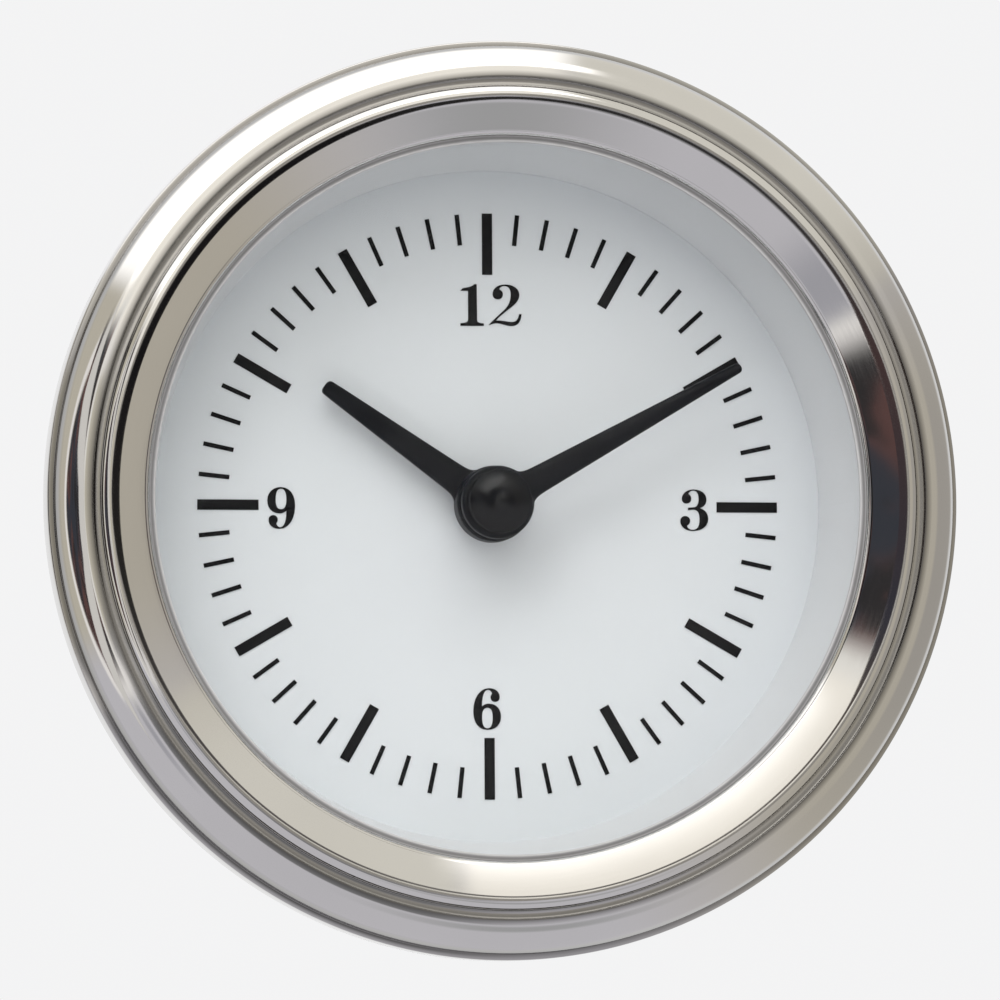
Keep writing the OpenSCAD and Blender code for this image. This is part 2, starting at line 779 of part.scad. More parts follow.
// Coil pins leave the bobbin's far end on both sides of the core
coil_pin_places = [for (side = [-1, 1])
    rotor_at + rotated([coil_u + side * 1.7, -coil_half - bobbin_wall / 2], motor_turn)];

function rotated(p, a) = [p[0] * cos(a) - p[1] * sin(a), p[0] * sin(a) + p[1] * cos(a)];

module circuit_board() {
    color("darkgreen") difference() {
        rod(board_r, board_back, board_front);
        place(setting_at) rod(setting_shaft_r + 0.6, board_back - 1, board_front + 1);
        place(lamp_at) rod(4.6, board_back - 1, board_front + 1);
        at_pillars() rod(pillar_bore + fit, board_back - 1, board_front + 1);
        for (pin = coil_pin_places) place(pin) rod(0.4, board_back - 1, board_front + 1);
        for (i = [-1 : 1])
            translate([terminal_at[0] + i * terminal_pitch - 1.6, terminal_at[1] - 0.45,
                board_back - 1]) cube([3.2, 0.9, board_t + 2]);
    }
}

module case_standoffs() {
    color("silver") at_pillars() difference() {
        union() {
            translate([0, 0, case_floor])
                cylinder(h = board_back - case_floor, r = standoff_r, $fn = 6);
            rod(pillar_bore, board_back - touch, rear_plate_front + 2.4);
        }
        rod(pillar_bore + fit, case_floor - 1, case_floor + 4.2);
    }
}

module case_screws() {
    color("silver") at_pillars() difference() {
        union() {
            rod(pillar_bore, case_back - touch, case_floor + 4);
            rod(case_screw_head_r, case_back - case_screw_head_t + 0.4, case_back);
            rod(case_screw_head_r - 0.35, case_back - case_screw_head_t,
                case_back - case_screw_head_t + 0.4 + touch);
        }
        for (a = [0, 90])
            rotate(a) translate([-1.1, -0.22, case_back - case_screw_head_t - 1])
                cube([2.2, 0.44, 1.6]);
    }
}

module quartz_crystal() {
    can_r = 1.55;
    rim_r = can_r + 0.15;
    color("silver") translate([-13, 1.5, board_back - rim_r]) rotate([0, 90, 0]) union() {
        rod(can_r, 0, 7.6);
        rod(rim_r, 7.6 - touch, 8.2);
    }
}

module driver_chip() {
    color("#202020") translate([-9.5, -7.4, board_back - 3.3]) {
        translate([0, 0, 0.3]) cube([9.4, 6.2, 2.4]);
        for (i = [0 : 3]) for (y = [-0.6, 6.2 - 0.2])
            translate([0.7 + 2.4 * i, y, 1]) cube([0.8, 0.8, 2.3]);
    }
}

module filter_capacitor() {
    color("midnightblue") translate([13, 3.5, board_back]) {
        rod(2.6, -4.2, -0.4);
        rod(2.4, -0.4 - touch, 0);
    }
}

module resistors() {
    color("tan") for (i = [0 : 2])
        translate([1.5, 3.2 + 2.2 * i, board_back - 1.1]) rotate([0, 90, 0]) {
            rod(1, 1, 5.4);
            rod(0.3, 0, 1 + touch);
            rod(0.3, 5.4 - touch, 6.4);
        }
}

module protection_diode() {
    color("#303030") translate([-17.5, -4.5, board_back - 1.3]) rotate([-90, 0, 0]) {
        rod(1.25, 0, 4.8);
        rod(0.35, -1, touch);
        rod(0.35, 4.8 - touch, 5.8);
    }
}

module coil_pins() {
    color("gold") for (pin = coil_pin_places) place(pin) rod(0.3, board_back - 0.5, stator_front - 1.5);
}

module terminal_block() {
    lip = 0.8;
    color("#1a1a1a") difference() {
        union() {
            translate([terminal_at[0] - block_size[0] / 2, terminal_at[1] - block_size[1] / 2,
                case_back - block_size[2]]) cube(block_size);
            translate([terminal_at[0] - block_size[0] / 2 + lip + 0.05,
                terminal_at[1] - block_size[1] / 2 + lip + 0.05, case_back - touch])
                cube([block_size[0] - 2 * lip - 0.1, block_size[1] - 2 * lip - 0.1,
                    case_wall + 1.2]);
        }
        for (i = [-1 : 1])
            translate([terminal_at[0] + i * terminal_pitch - blade_w / 2,
                terminal_at[1] - blade_t_metal / 2, case_back - block_size[2] - 1])
                cube([blade_w, blade_t_metal, block_size[2] + case_wall + 3]);
    }
}

module blade_terminals() {
    tip = case_back - block_size[2] - blade_reach;
    shoulder = case_floor + 1.3;
    color("gold") for (i = [-1 : 1])
        translate([terminal_at[0] + i * terminal_pitch, terminal_at[1] + blade_t_metal / 2, 0])
            rotate([90, 0, 0]) linear_extrude(blade_t_metal) difference() {
                polygon([
                    [-blade_w / 2, shoulder], [-1.5, shoulder], [-1.5, board_front + 0.5],
                    [1.5, board_front + 0.5], [1.5, shoulder], [blade_w / 2, shoulder],
                    [blade_w / 2, tip + 1.2], [blade_w / 2 - 1.2, tip],
                    [1.2 - blade_w / 2, tip], [-blade_w / 2, tip + 1.2]]);
                translate([0, tip + 3.2]) circle(r = 0.8);
            }
}

module mounting_studs() {
    head_t = 1;
    relief = case_back - stud_washer_t - stud_nut_t;    // short neck where the nut ends
    color("silver") at_studs() {
        rod(stud_r, case_back - stud_reach + 0.6, relief - 0.2);
        rod(stud_r - 0.3, relief - 0.2 - touch, relief + 0.2 + touch);
        rod(stud_r, relief + 0.2, case_floor + touch);
        rod(4, case_floor, case_floor + head_t);
        translate([0, 0, case_back - stud_reach])
            cylinder(h = 0.6 + touch, r1 = stud_r - 0.5, r2 = stud_r);
    }
}

module stud_washers() {
    color("silver") at_studs()
        tube(stud_washer_r, stud_r + 0.1, case_back - stud_washer_t, case_back);
}

module stud_nuts() {
    top = case_back - stud_washer_t;
    color("silver") at_studs() difference() {
        translate([0, 0, top - stud_nut_t])
            cylinder(h = stud_nut_t, r = stud_nut_across / 2 / cos(30), $fn = 6);
        rod(stud_r + fit, top - stud_nut_t - 1, top + 1);
    }
}

module lamp_holder() {
    flange_front = case_back - lamp_gap;
    grip_ribs = 12;
    color("#222222") place(lamp_at) difference() {
        union() {
            rod(lamp_hole_r - lamp_gap, case_back - 1, case_floor + 4.5);
            rod(lamp_flange_r, flange_front - 1.2, flange_front);
            rod(lamp_flange_r - 1.1, flange_front - 4.6, flange_front - 1.2 + touch);
            for (i = [0 : grip_ribs - 1])
                rotate(360 * i / grip_ribs)
                    translate([lamp_flange_r - 1.3, -0.45, flange_front - 4.6])
                    cube([0.7, 0.9, 3.5]);
            translate([-lamp_lug_r, -lamp_lug_w / 2, case_floor + lamp_gap])
                cube([2 * lamp_lug_r, lamp_lug_w, 1.2]);
        }
        translate([-2.6, -1.15, flange_front - 2]) cube([5.2, 2.3, 20]);
        rod(3.4, case_floor + 1.5, case_floor + 8);
    }
}

module lamp_contacts() {
    color("gold") place(lamp_at) for (side = [-1, 1])
        translate([side * 1.6 - 0.7, side * 1 - 0.15, case_back - 2])
            cube([1.4, 0.3, case_wall + 3.4]);
}

module lamp_bulb() {
    base = case_floor + 1.5;
    color("lightyellow", 0.6) place(lamp_at) {
        rotate_extrude() polygon(concat([[0, base], [2.1, base], [bulb_r, base + 2.2]],
            arc(0, base + 6.6, bulb_r, 0, 90, 8)));
        translate([-2.1, -0.8, case_back - 1.2]) cube([4.2, 1.6, base - case_back + 1.2 + touch]);
    }
}

module setting_shaft() {
    pinion_z = front_plate_front + 0.2;
    color("ivory") place(setting_at) union() {
        rod(setting_shaft_r, case_back - 3, pinion_z + touch);
        translate([0, 0, pinion_z])
            gear(setting_teeth, motion_mod, motion_slack, setting_phase,
                minute_wheel_z + gear_t + 0.3 - pinion_z);
    }
}

module setting_knob() {
    top = case_back - 1;
    color("#1a1a1a") place(setting_at) difference() {
        union() {
            rod(knob_r - 0.3, top - knob_t, top);
            for (i = [0 : knob_ribs - 1])
                rotate(360 * i / knob_ribs) translate([knob_r - 0.5, -0.25, top - knob_t + 0.4])
                    cube([0.5, 0.5, knob_t - 0.8]);
        }
        rod(setting_shaft_r, top - 2, top + 1);
        translate([-knob_r, -0.4, top - knob_t - 1]) cube([2 * knob_r, 0.8, 1.7]);
    }
}

module setting_bushing() {
    color("gold") place(setting_at) difference() {
        union() {
            rod(2, case_back - touch, case_floor + 1);
            rod(2.8, case_back - 0.6, case_back);
        }
        rod(setting_shaft_r + fit, case_back - 2, case_floor + 2);
    }
}

upright() bezel();
upright() lens_glass();
upright() lens_gasket();
upright() case();
upright() spacer_ring();
upright() dial();
upright() dial_marks();
upright() hour_hand();
upright() minute_hand();
upright() hub_cap();
upright() front_plate();
upright() centre_bushing();
upright() minute_wheel_post();
upright() minute_wheel();
upright() hour_wheel();
upright() cannon_pinion();
upright() centre_arbor();
upright() friction_spring();
upright() centre_wheel();
upright() intermediate_wheel();
upright() intermediate_arbor();
upright() rotor_magnet();
upright() rotor_pinion();
upright() stator();
upright() coil_core();
upright() coil_bobbin();
upright() coil_winding();
upright() stator_screws();
upright() rear_plate();
upright() plate_pillars();
upright() plate_screws();
upright() board_spacers();
upright() circuit_board();
upright() case_standoffs();
upright() case_screws();
upright() quartz_crystal();
upright() driver_chip();
upright() filter_capacitor();
upright() resistors();
upright() protection_diode();
upright() coil_pins();
upright() terminal_block();
upright() blade_terminals();
upright() mounting_studs();
upright() stud_washers();
upright() stud_nuts();
upright() lamp_holder();
upright() lamp_contacts();
upright() lamp_bulb();
upright() setting_shaft();
upright() setting_knob();
upright() setting_bushing();
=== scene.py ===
"""Looks of the gauge clock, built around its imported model. Lengths in the profiles are mm."""
import json
import math

import bmesh
import bpy
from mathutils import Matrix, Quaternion, Vector


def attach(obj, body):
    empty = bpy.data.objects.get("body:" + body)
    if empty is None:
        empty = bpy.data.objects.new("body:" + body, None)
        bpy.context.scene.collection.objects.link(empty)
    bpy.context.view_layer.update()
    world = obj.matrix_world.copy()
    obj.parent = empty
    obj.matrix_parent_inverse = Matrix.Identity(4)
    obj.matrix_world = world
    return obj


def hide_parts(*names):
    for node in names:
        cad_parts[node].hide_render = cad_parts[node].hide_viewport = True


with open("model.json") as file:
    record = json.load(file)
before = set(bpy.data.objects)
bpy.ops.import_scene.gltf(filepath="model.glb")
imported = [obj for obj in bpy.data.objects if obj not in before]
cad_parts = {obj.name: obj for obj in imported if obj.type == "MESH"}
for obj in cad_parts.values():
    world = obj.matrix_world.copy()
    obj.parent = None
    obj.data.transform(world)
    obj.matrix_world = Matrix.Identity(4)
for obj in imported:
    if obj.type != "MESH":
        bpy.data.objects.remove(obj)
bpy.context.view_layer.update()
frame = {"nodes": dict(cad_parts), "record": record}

NODES = frame["nodes"]
MM = 0.001

# The dial's own directions are x to 3 o'clock, y to 12 o'clock and z towards the reader.
DIAL_Z = -4.4
HOUR_ANGLE = -305.075
MINUTE_ANGLE = -60.9


def row(x, y, z):
    """A point in dial directions, in mm, as a point of the model in metres."""
    return Vector((x, -z, y)) * MM


# Node helpers


def new_material(name):
    material = bpy.data.materials.new(name)
    material.use_nodes = True
    tree = material.node_tree
    return material, tree, tree.nodes["Principled BSDF"]


def add(tree, kind, **values):
    """A node with its properties and, by index or name, its input values."""
    node = tree.nodes.new(kind)
    for key, value in values.items():
        if key == "inputs":
            for socket, v in value.items():
                node.inputs[socket].default_value = v
        else:
            setattr(node, key, value)
    return node


def math_node(tree, operation, a, b=None, c=None):
    node = add(tree, "ShaderNodeMath", operation=operation)
    for i, v in enumerate((a, b, c)):
        if v is None:
            continue
        if isinstance(v, (int, float)):
            node.inputs[i].default_value = v
        else:
            tree.links.new(v, node.inputs[i])
    return node.outputs[0]


def noise(tree, vector, scale, detail=3.0, rough=0.55, distortion=0.0):
    node = add(tree, "ShaderNodeTexNoise", inputs={
        "Scale": scale, "Detail": detail, "Roughness": rough, "Distortion": distortion})
    tree.links.new(vector, node.inputs["Vector"])
    return node.outputs["Fac"]


def remap(tree, value, lo, hi, to_lo, to_hi):
    node = add(tree, "ShaderNodeMapRange", inputs={1: lo, 2: hi, 3: to_lo, 4: to_hi})
    tree.links.new(value, node.inputs[0])
    return node.outputs[0]


def blend_colour(tree, factor, a, b):
    node = add(tree, "ShaderNodeMix", data_type="RGBA")
    for i, v in ((0, factor), (6, a), (7, b)):
        if isinstance(v, (int, float)):
            node.inputs[i].default_value = v
        elif isinstance(v, (tuple, list)):
            node.inputs[i].default_value = (*v, 1) if len(v) == 3 else v
        else:
            tree.links.new(v, node.inputs[i])
    return node.outputs[2]


def bump(tree, bsdf, height, strength, distance):
    node = add(tree, "ShaderNodeBump", inputs={"Strength": strength, "Distance": distance})
    tree.links.new(height, node.inputs["Height"])
    tree.links.new(node.outputs["Normal"], bsdf.inputs["Normal"])


def object_vector(tree):
    return add(tree, "ShaderNodeTexCoord").outputs["Object"]


def axial(tree, centre=(0.0, 0.0)):
    """Radius, turn and depth about an axis along Y through centre (x, z), in metres."""
    split = add(tree, "ShaderNodeSeparateXYZ")
    tree.links.new(object_vector(tree), split.inputs[0])
    x = math_node(tree, "SUBTRACT", split.outputs[0], centre[0] * MM)
    z = math_node(tree, "SUBTRACT", split.outputs[2], centre[1] * MM)
    radius = math_node(tree, "SQRT", math_node(
        tree, "ADD", math_node(tree, "MULTIPLY", x, x), math_node(tree, "MULTIPLY", z, z)))
    turn = math_node(tree, "ARCTAN2", z, x)
    return radius, turn, split.outputs[1]


def vector_of(tree, x, y, z):
    node = add(tree, "ShaderNodeCombineXYZ")
    for i, v in enumerate((x, y, z)):
        if isinstance(v, (int, float)):
            node.inputs[i].default_value = v
        else:
            tree.links.new(v, node.inputs[i])
    return node.outputs[0]


def varied(name, colour, rough, metal=0.0, spread=0.06, grain=900.0, relief=0.15, depth=2e-5,
           rough_spread=0.08, specular=0.5, coat=0.0, coat_rough=0.1, patch=120.0):
    """A surface with patches of slightly different colour, fine grain and varying gloss."""
    material, tree, bsdf = new_material(name)
    vector = object_vector(tree)
    patches = noise(tree, vector, patch, 4.0)
    fine = noise(tree, vector, grain, 6.0)
    dark = tuple(c * (1 - spread) for c in colour)
    pale = tuple(min(1.0, c * (1 + spread)) for c in colour)
    mixed = math_node(tree, "ADD", math_node(tree, "MULTIPLY", patches, 0.6),
                      math_node(tree, "MULTIPLY", fine, 0.4))
    tree.links.new(blend_colour(tree, remap(tree, mixed, 0.3, 0.7, 0, 1), dark, pale),
                   bsdf.inputs["Base Color"])
    tree.links.new(remap(tree, mixed, 0.3, 0.7, max(0.02, rough - rough_spread),
                         min(1.0, rough + rough_spread)), bsdf.inputs["Roughness"])
    bump(tree, bsdf, fine, relief, depth)
    bsdf.inputs["Metallic"].default_value = metal
    bsdf.inputs["Specular IOR Level"].default_value = specular
    bsdf.inputs["Coat Weight"].default_value = coat
    bsdf.inputs["Coat Roughness"].default_value = coat_rough
    return material


def turned(name, colour, rough, centre=(0.0, 0.0), metal=1.0, pitch=9000.0, relief=0.2,
           depth=4e-6, spread=0.05, rough_spread=0.05):
    """Metal or plastic with the fine circular lines of a lathe or polishing wheel."""
    material, tree, bsdf = new_material(name)
    radius, turn, y = axial(tree, centre)
    lines = noise(tree, vector_of(
        tree, math_node(tree, "MULTIPLY", radius, pitch / 30),
        math_node(tree, "MULTIPLY", y, pitch / 30), math_node(tree, "MULTIPLY", turn, 0.35)),
        30.0, 4.0)
    patches = noise(tree, object_vector(tree), 90.0, 4.0)
    dark = tuple(c * (1 - spread) for c in colour)
    pale = tuple(min(1.0, c * (1 + spread)) for c in colour)
    tree.links.new(blend_colour(tree, remap(tree, patches, 0.3, 0.7, 0, 1), dark, pale),
                   bsdf.inputs["Base Color"])
    mixed = math_node(tree, "ADD", math_node(tree, "MULTIPLY", patches, 0.5),
                      math_node(tree, "MULTIPLY", lines, 0.5))
    tree.links.new(remap(tree, mixed, 0.35, 0.65, max(0.02, rough - rough_spread),
                         rough + rough_spread), bsdf.inputs["Roughness"])
    bump(tree, bsdf, lines, relief, depth)
    bsdf.inputs["Metallic"].default_value = metal
    return material


SMEAR = 0.012       # how much rougher glass is where fingers or wipes smeared it


def glass(name, tint, rough=0.0, ior=1.5):
    """Clear glass that lets lamps through to what it covers."""
    material, tree, bsdf = new_material(name)
    vector = object_vector(tree)
    smear = noise(tree, vector, 60.0, 3.0)
    tree.links.new(blend_colour(tree, smear, tint, (1, 1, 1)), bsdf.inputs["Base Color"])
    tree.links.new(remap(tree, smear, 0.35, 0.75, rough, rough + SMEAR),
                   bsdf.inputs["Roughness"])
    bsdf.inputs["Transmission Weight"].default_value = 1.0
    bsdf.inputs["IOR"].default_value = ior
    clear = add(tree, "ShaderNodeBsdfTransparent")
    path = add(tree, "ShaderNodeLightPath")
    mix = add(tree, "ShaderNodeMixShader")
    tree.links.new(path.outputs["Is Shadow Ray"], mix.inputs[0])
    tree.links.new(bsdf.outputs[0], mix.inputs[1])
    tree.links.new(clear.outputs[0], mix.inputs[2])
    tree.links.new(mix.outputs[0], tree.nodes["Material Output"].inputs["Surface"])
    return material


def near(tree, place, at, reach, squash=1.0):
    """1 at a ring (radius, z) in mm, falling to 0 at reach from it."""
    radius, _, y = place
    dr = math_node(tree, "MULTIPLY", math_node(tree, "SUBTRACT", radius, at[0] * MM), squash)
    dz = math_node(tree, "ADD", y, at[1] * MM)
    away_from = math_node(tree, "SQRT", math_node(tree, "ADD", math_node(
        tree, "MULTIPLY", dr, dr), math_node(tree, "MULTIPLY", dz, dz)))
    return remap(tree, away_from, 0.25 * reach * MM, reach * MM, 1, 0)


def paint_shade_rings(material, rings, colour):
    """Adds painted shade round the dial's axis, each ring being place, reach, strength and squash.
    """
    tree = material.node_tree
    socket = tree.nodes["Principled BSDF"].inputs["Base Color"]
    unshaded = socket.links[0].from_socket
    place = axial(tree)
    shade_amount = 0.0
    for at, reach, strength, squash in rings:
        shade_amount = math_node(tree, "MAXIMUM", shade_amount, math_node(
            tree, "MULTIPLY", near(tree, place, at, reach, squash), strength))
    tree.links.new(blend_colour(tree, shade_amount, unshaded, colour), socket)
    return material


# Shape helpers


def arc(cx, cy, r, start, end, steps):
    return [(cx + r * math.cos(math.radians(start + (end - start) * i / steps)),
             cy + r * math.sin(math.radians(start + (end - start) * i / steps)))
            for i in range(steps + 1)]


def eased(points, radius, steps=4):
    """An open profile with each sharp corner rounded by radius."""
    out = [points[0]]
    for before, at, after in zip(points, points[1:], points[2:]):
        a, b = Vector(before) - Vector(at), Vector(after) - Vector(at)
        if a.length < 1e-6 or b.length < 1e-6:
            continue
        angle = a.angle(b)
        if angle > math.radians(160):
            out.append(at)
            continue
        cut = min(radius / math.tan(angle / 2), a.length * 0.45, b.length * 0.45)
        p, q = Vector(at) + a.normalized() * cut, Vector(at) + b.normalized() * cut
        for i in range(steps + 1):
            t = i / steps
            out.append(tuple((1 - t) ** 2 * p + 2 * t * (1 - t) * Vector(at) + t * t * q))
    out.append(points[-1])
    return out


def mesh_object(name, verts, faces, material, smooth=True):
    mesh = bpy.data.meshes.new(name)
    mesh.from_pydata([tuple(v) for v in verts], [], faces)
    mesh.validate()
    mesh.materials.append(material)
    work = bmesh.new()
    work.from_mesh(mesh)
    bmesh.ops.recalc_face_normals(work, faces=work.faces)
    for face in work.faces:
        face.smooth = smooth
    work.to_mesh(mesh)
    work.free()
    piece = bpy.data.objects.new(name, mesh)
    bpy.context.scene.collection.objects.link(piece)
    return piece


def lathe(name, profile, material, centre=(0.0, 0.0), segments=96, closed=False):
    """Turns (radius, z) points about the dial's axis through centre. Points at r=0 close it."""
    verts, rings = [], []
    for r, z in profile:
        if r < 1e-6:
            rings.append([len(verts)])
            verts.append(row(centre[0], centre[1], z))
        else:
            rings.append(list(range(len(verts), len(verts) + segments)))
            verts += [row(centre[0] + r * math.cos(2 * math.pi * i / segments),
                          centre[1] + r * math.sin(2 * math.pi * i / segments), z)
                      for i in range(segments)]
    faces = []
    pairs = list(zip(rings, rings[1:])) + ([(rings[-1], rings[0])] if closed else [])
    for a, b in pairs:
        for i in range(segments):
            j = (i + 1) % segments
            if len(a) == 1 and len(b) == 1:
                break
            if len(a) == 1:
                faces.append((a[0], b[j], b[i]))
            elif len(b) == 1:
                faces.append((a[i], a[j], b[0]))
            else:
                faces.append((a[i], a[j], b[j], b[i]))
    return mesh_object(name, verts, faces, material)


def stand_for(piece, node, body):
    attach(piece, body)
    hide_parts(node)


# Bezel: the profile follows the solid's, with each fold of the sheet slightly eased

BEZEL_R, OPENING_R, LIP_Z = 30.0, 23.6, 5.0
SHEET, ROLL_R, RIM_H, FOLD, EDGE = 0.6, 26.6, 2.6, 0.35, 0.12
CREASE_H, CREASE_EASE, STEP_EASE = 0.25, 0.06, 0.07     # fold at the rim, and how folds are eased
BEAD_R, BEAD_ROUND, BEAD_Z = 29.6, 2.17, 5.2
STEP_OUT, STEP_IN, STEP_Z = 27.38, 26.83, 4.95
RIDGE_ROUND, RIDGE_EASE, RIDGE_Z, CONE_SLOPE = 0.6, 2.2, 5.7, 18.0
POCKET_Z, POCKET_R, POCKET_IN, POCKET_DOWN, LIP_ROUND = 4.4, 28.95, 0.5, 0.65, 0.55


def bezel_profile():
    ridge_r = STEP_IN - RIDGE_ROUND
    outer = [(ROLL_R, 0.0)]
    outer += arc(BEZEL_R - FOLD, FOLD, FOLD, -90, 0, 10)
    outer += arc(BEZEL_R - EDGE, RIM_H - EDGE, EDGE, 0, 78, 8)
    corner = [outer[-1], (BEAD_R, RIM_H + 0.02), (BEAD_R, RIM_H + CREASE_H)]
    outer += eased(corner, CREASE_EASE)[1:]
    bead = arc(BEAD_R - BEAD_ROUND, BEAD_Z - BEAD_ROUND, BEAD_ROUND, 0, 90, 44)
    outer += bead
    step = [bead[-1], (STEP_OUT, BEAD_Z), (STEP_OUT, STEP_Z), (STEP_IN, STEP_Z),
            (STEP_IN, RIDGE_Z - RIDGE_ROUND + 0.04)]
    outer += eased(step, STEP_EASE)[1:]
    outer += arc(ridge_r, RIDGE_Z - RIDGE_ROUND, RIDGE_ROUND, 6, 90, 20)
    outer += arc(ridge_r, RIDGE_Z - RIDGE_EASE, RIDGE_EASE, 90, 90 + CONE_SLOPE, 16)[1:]
    outer += arc(OPENING_R + LIP_ROUND, LIP_Z - LIP_ROUND, LIP_ROUND, 90 + CONE_SLOPE, 180, 18)
    outer += [(OPENING_R, POCKET_Z), (POCKET_R - POCKET_IN, POCKET_Z),
              (POCKET_R, POCKET_Z - POCKET_DOWN), (POCKET_R, SHEET), (ROLL_R, SHEET)]
    return outer


POLISHED = turned("polished_steel", (0.62, 0.61, 0.595), 0.075, pitch=14000.0, relief=0.05,
                  depth=1.5e-6, spread=0.02, rough_spread=0.03)
# Painted shade in the creases: where (radius, height), how far it reaches, how strong, how squashed
CREASE_SHADE = (((BEAD_R, 3.0), 1.3, 0.8, 2.2), ((27.42, 5.12), 0.42, 0.7, 1.0),
                ((STEP_IN, 4.97), 0.27, 0.6, 1.0))
paint_shade_rings(POLISHED, CREASE_SHADE, (0.12, 0.115, 0.11))
bezel = lathe("bezel_ring", bezel_profile(), POLISHED, segments=256, closed=True)
stand_for(bezel, "bezel", "case")


# Hands: moulded blades with a soft crown, a blunt tip and a fillet where they leave the hub

ACROSS = (-1.0, -0.93, -0.72, -0.4, 0.0, 0.4, 0.72, 0.93, 1.0)     # shares of half the width
FILLET, FILLET_FADE, FILLET_FROM, FILLET_STEP = 0.3, 0.26, 0.35, 0.15
TIP_ROUND, TIP_STEPS = 0.3, 6
CROWN, CROWN_POWER = 0.45, 2.4      # share of the thickness that is crowned, and how squarely
UNDER_CUT, UNDER_IN = 0.12, 0.9     # the back's chamfer, as shares of thickness and width


def blade(name, angle, reach, root_w, tip_w, z, thick, hub_r, material):
    """Tapered blade towards angle (turned from 12 o'clock), crowned across its width."""
    tip_round = TIP_ROUND * tip_w
    fillet_start = hub_r - FILLET_FROM
    along = [0.0, hub_r * 0.7] + [fillet_start + FILLET_STEP * i for i in range(11)]
    along += [hub_r + (reach - hub_r) * t for t in (0.25, 0.5, 0.75, 0.9)]
    stations = []
    for y in along:
        fillet = FILLET * math.exp(-max(0.0, y - fillet_start) / FILLET_FADE)
        stations.append((y, (root_w + (tip_w - root_w) * y / reach) / 2 + fillet))
    for i in range(TIP_STEPS + 1):
        a = math.pi / 2 * i / TIP_STEPS
        stations.append((reach - tip_round * (1 - math.sin(a)),
                         tip_w / 2 - tip_round * (1 - math.cos(a))))
    turn = math.radians(angle)
    verts, faces = [], []
    for y, half in stations:
        top = [(u * half, y, z + thick * (1 - CROWN * (1 - math.sqrt(1 - abs(u) ** CROWN_POWER))))
               for u in ACROSS]
        under = [(half, y, z + thick * UNDER_CUT), (half * UNDER_IN, y, z),
                 (-half * UNDER_IN, y, z), (-half, y, z + thick * UNDER_CUT)]
        for x, v, w in top + under:
            verts.append(row(x * math.cos(turn) - v * math.sin(turn),
                             x * math.sin(turn) + v * math.cos(turn), w))
    n = len(ACROSS) + len(under)
    for i in range(len(stations) - 1):
        for j in range(n):
            k = (j + 1) % n
            faces.append((i * n + j, i * n + k, (i + 1) * n + k, (i + 1) * n + j))
    faces.append(tuple(range(n)))
    faces.append(tuple((len(stations) - 1) * n + j for j in reversed(range(n))))
    return mesh_object(name, verts, faces, material)


HAND_BLACK = varied("hand_black", (0.005, 0.0055, 0.0075), 0.42, spread=0.25, grain=1900.0,
                    relief=0.06, depth=3e-6, rough_spread=0.05, patch=400.0, specular=0.15)
BLADE_T, HUB_R, MINUTE_HUB_R = 0.7, 2.5, 2.4
HUB_BACK_IN, HUB_BACK_H = 0.3, 0.3      # how a hub's back is stepped in, and how high
HOUR_HUB_Z, HOUR_HUB_T = DIAL_Z + 0.9, 2.1
MINUTE_HUB_Z, MINUTE_HUB_T = DIAL_Z + 3.2, 1.2


def hub_profile(bore, r, z, thick, edge):
    """A disc that steps in at the back and has a large round on its front edge."""
    inner, step = r - HUB_BACK_IN, z + HUB_BACK_H
    back = [(bore + 0.1, z), (inner, z), (inner, step), (r, step), (r, step + HUB_BACK_H)]
    return ([(bore, z)] + eased(back, 0.1)[1:]
            + arc(r - edge, z + thick - edge, edge, 0, 90, 14) + [(bore, z + thick)])


hour_blade = blade("hour_blade", HOUR_ANGLE, reach=13.5, root_w=2.15, tip_w=0.98,
                   z=HOUR_HUB_Z + 0.3, thick=BLADE_T, hub_r=HUB_R, material=HAND_BLACK)
hour_hub = lathe("hour_hub", hub_profile(bore=1.4, r=HUB_R, z=HOUR_HUB_Z, thick=HOUR_HUB_T,
                                         edge=0.5), HAND_BLACK, closed=True)
minute_blade = blade("minute_blade", MINUTE_ANGLE, reach=18.5, root_w=2.02, tip_w=0.68,
                     z=MINUTE_HUB_Z + 0.4, thick=BLADE_T, hub_r=MINUTE_HUB_R,
                     material=HAND_BLACK)
minute_hub = lathe("minute_hub", hub_profile(bore=0.6, r=MINUTE_HUB_R, z=MINUTE_HUB_Z,
                                             thick=MINUTE_HUB_T, edge=0.42),
                   HAND_BLACK, closed=True)
for piece in (hour_blade, hour_hub):
    stand_for(piece, "hour_hand", "hour_wheel")
for piece in (minute_blade, minute_hub):
    stand_for(piece, "minute_hand", "minute_arbor")

CAP_BLACK = varied("cap_black", (0.002, 0.0023, 0.0035), 0.2, spread=0.1, grain=1700.0,
                   relief=0.02, depth=3e-6, rough_spread=0.015, patch=500.0, specular=0.25)
CAP_R, CAP_WALL, CAP_H, CAP_BASE = 2.08, 0.8, 1.6, MINUTE_HUB_Z + MINUTE_HUB_T
CAP_BORE_R, CAP_BORE_H, CAP_SHOULDER = 0.6, 0.6, 0.25
# The moulding's gate mark at the top, a pip in a shallow dip: radius, and how far down
GATE_MARK = ((0.3, 0.0145), (0.25, 0.07), (0.2, 0.065), (0.15, 0.03), (0.08, 0.008), (0.0, 0.0))


def cap_profile():
    """A domed cap with a blind bore for the arbor's end."""
    top, bore_z, rise = CAP_BASE + CAP_H, CAP_BASE + CAP_BORE_H, CAP_H - CAP_WALL
    dome_r = (CAP_R ** 2 + rise ** 2) / (2 * rise)
    half_angle = math.degrees(math.asin(CAP_R / dome_r))
    dome = arc(0, top - dome_r, dome_r, 90 - half_angle, 90, 24)[1:-1]
    return ([(0.0, bore_z), (CAP_BORE_R, bore_z), (CAP_BORE_R, CAP_BASE), (CAP_R, CAP_BASE)]
            + eased([(CAP_R, CAP_BASE + 0.1), (CAP_R, CAP_BASE + CAP_WALL)] + dome, CAP_SHOULDER)
            + [(r, top - down) for r, down in GATE_MARK])


